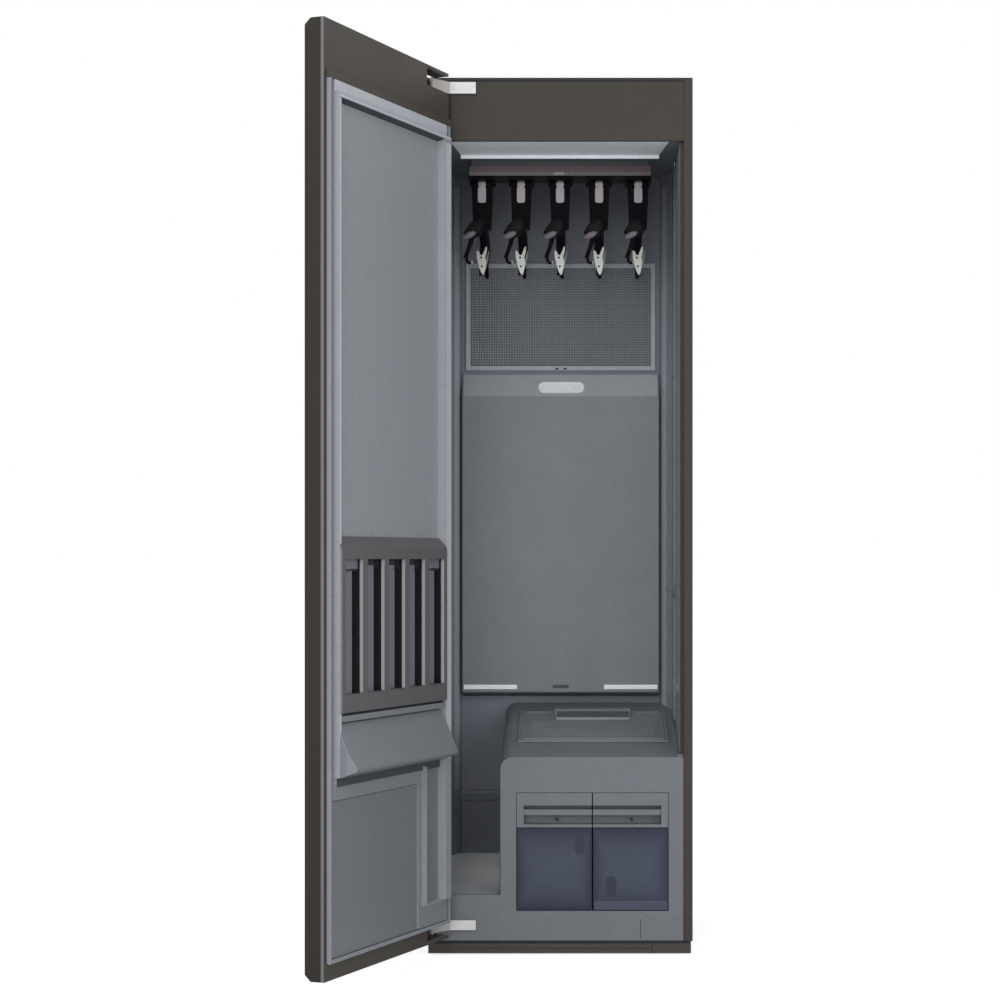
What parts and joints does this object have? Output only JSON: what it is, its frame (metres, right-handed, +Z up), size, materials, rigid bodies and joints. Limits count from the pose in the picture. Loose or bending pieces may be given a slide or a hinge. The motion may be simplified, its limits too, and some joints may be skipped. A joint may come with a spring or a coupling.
{
  "type": "clothes care steam cabinet",
  "caption": "Tall steam cabinet for clothes with an open hinged door, hangers on a ceiling rail, a machine compartment with pull-out water tanks, and a trouser rack inside the door.",
  "frame": {"origin": "on the floor, under the middle of the box that holds the cabinet and its open door", "axes": "+Z up, +Y from the open front into the cabinet, +X to the right as seen from in front; the hinge is on the left"},
  "size_m": [0.801, 1.1818, 1.96],
  "materials": {
    "body_steel": "satin",
    "door_steel": "satin",
    "galvanised": "satin",
    "dark_plastic": "matte",
    "liner_plastic": "satin",
    "cover_plastic": "satin",
    "grille_plastic": "satin",
    "light_diffuser": "gloss",
    "rail_plastic": "satin",
    "hanger_plastic": "satin",
    "clip_chrome": "polished",
    "machine_plastic": "satin",
    "tank_plastic": "gloss",
    "door_plastic": "satin",
    "rack_plastic": "satin",
    "gasket_rubber": "matte",
    "foam": "matte",
    "compressor_iron": "matte",
    "cast_aluminium": "matte",
    "board_resin": "matte"
  },
  "bodies": {
    "cabinet": {"side_panel_left": "body_steel", "side_panel_right": "body_steel", "top_panel": "body_steel", "back_panel": "galvanised", "base_pan": "galvanised", "header_panel": "body_steel", "plinth": "body_steel", "foot_front_left": "dark_plastic", "foot_front_right": "dark_plastic", "foot_rear_left": "dark_plastic", "foot_rear_right": "dark_plastic", "cord_gland": "dark_plastic", "liner_left": "liner_plastic", "liner_right": "liner_plastic", "liner_back": "liner_plastic", "liner_ceiling": "liner_plastic", "ceiling_light": "light_diffuser", "back_grille": "grille_plastic", "back_cover": "cover_plastic", "light_strip_left": "light_diffuser", "light_strip_right": "light_diffuser", "dress_zone_tub": "machine_plastic", "hanger_rail": "rail_plastic", "machine_front": "machine_plastic", "machine_top": "machine_plastic", "tank_bay": "dark_plastic", "compressor": "compressor_iron", "heat_exchanger": "cast_aluminium", "blower_housing": "dark_plastic", "steam_generator": "cast_aluminium", "water_pump": "dark_plastic", "control_board": "board_resin", "air_duct": "dark_plastic", "hinge_arm_top": "clip_chrome", "hinge_arm_bottom": "clip_chrome"},
    "door": {"door_panel": "door_steel", "door_frame": "door_steel", "door_core": "foam", "door_liner": "door_plastic", "door_lower_panel": "door_plastic", "door_gasket": "gasket_rubber", "rack_frame": "rack_plastic", "rack_back": "door_plastic", "rack_tray": "door_plastic"},
    "supply_tank": {"supply_tank": "tank_plastic", "supply_tank_cap": "machine_plastic"},
    "drain_tank": {"drain_tank": "tank_plastic", "drain_tank_cap": "machine_plastic"},
    "filter": {"lint_filter": "machine_plastic"},
    "blower_wheel": {"blower_impeller": "dark_plastic"},
    "hanger_1": {"hanger_1": "hanger_plastic"},
    "clip_1": {"clip_1": "clip_chrome"},
    "hanger_2": {"hanger_2": "hanger_plastic"},
    "clip_2": {"clip_2": "clip_chrome"},
    "hanger_3": {"hanger_3": "hanger_plastic"},
    "clip_3": {"clip_3": "clip_chrome"},
    "hanger_4": {"hanger_4": "hanger_plastic"},
    "clip_4": {"clip_4": "clip_chrome"},
    "hanger_5": {"hanger_5": "hanger_plastic"},
    "clip_5": {"clip_5": "clip_chrome"}
  },
  "joints": [
    {"name": "door_swing", "type": "hinge", "parent": "cabinet", "child": "door", "pos_m": [-0.17847, -0.04037, 1], "axis": [0, 0, -1], "range_deg": [-111.46, 8.5]},
    {"name": "supply_tank_slide", "type": "slide", "parent": "cabinet", "child": "supply_tank", "axis": [0, -1, 0], "range_m": [0, 0.2]},
    {"name": "drain_tank_slide", "type": "slide", "parent": "cabinet", "child": "drain_tank", "axis": [0, -1, 0], "range_m": [0, 0.2]},
    {"name": "filter_lift", "type": "slide", "parent": "cabinet", "child": "filter", "axis": [0, -0.1657, 0.9862], "range_m": [0, 0.12]},
    {"name": "blower_spin", "type": "hinge", "parent": "cabinet", "child": "blower_wheel", "pos_m": [0.12803, 0.46163, 0.236], "axis": [0, 1, 0], "continuous": true},
    {"name": "hanger_1_slide", "type": "slide", "parent": "cabinet", "child": "hanger_1", "axis": [0, -1, 0], "range_m": [0, 0.15]},
    {"name": "hanger_2_slide", "type": "slide", "parent": "cabinet", "child": "hanger_2", "axis": [0, -1, 0], "range_m": [0, 0.15]},
    {"name": "hanger_3_slide", "type": "slide", "parent": "cabinet", "child": "hanger_3", "axis": [0, -1, 0], "range_m": [0, 0.15]},
    {"name": "hanger_4_slide", "type": "slide", "parent": "cabinet", "child": "hanger_4", "axis": [0, -1, 0], "range_m": [0, 0.15]},
    {"name": "hanger_5_slide", "type": "slide", "parent": "cabinet", "child": "hanger_5", "axis": [0, -1, 0], "range_m": [0, 0.15]},
    {"name": "clip_1_pivot", "type": "hinge", "parent": "hanger_1", "child": "clip_1", "pos_m": [-0.07897, 0.24183, 1.5969], "axis": [-1, 0, 0], "range_deg": [0, 15], "stiffness_Nm_per_rad": 0.02, "springref_deg": -5.73},
    {"name": "clip_2_pivot", "type": "hinge", "parent": "hanger_2", "child": "clip_2", "pos_m": [0.01203, 0.24183, 1.5969], "axis": [-1, 0, 0], "range_deg": [0, 15], "stiffness_Nm_per_rad": 0.02, "springref_deg": -5.73},
    {"name": "clip_3_pivot", "type": "hinge", "parent": "hanger_3", "child": "clip_3", "pos_m": [0.10303, 0.24183, 1.5969], "axis": [-1, 0, 0], "range_deg": [0, 15], "stiffness_Nm_per_rad": 0.02, "springref_deg": -5.73},
    {"name": "clip_4_pivot", "type": "hinge", "parent": "hanger_4", "child": "clip_4", "pos_m": [0.19403, 0.24183, 1.5969], "axis": [-1, 0, 0], "range_deg": [0, 15], "stiffness_Nm_per_rad": 0.02, "springref_deg": -5.73},
    {"name": "clip_5_pivot", "type": "hinge", "parent": "hanger_5", "child": "clip_5", "pos_m": [0.28503, 0.24183, 1.5969], "axis": [-1, 0, 0], "range_deg": [0, 15], "stiffness_Nm_per_rad": 0.02, "springref_deg": -5.73}
  ]
}
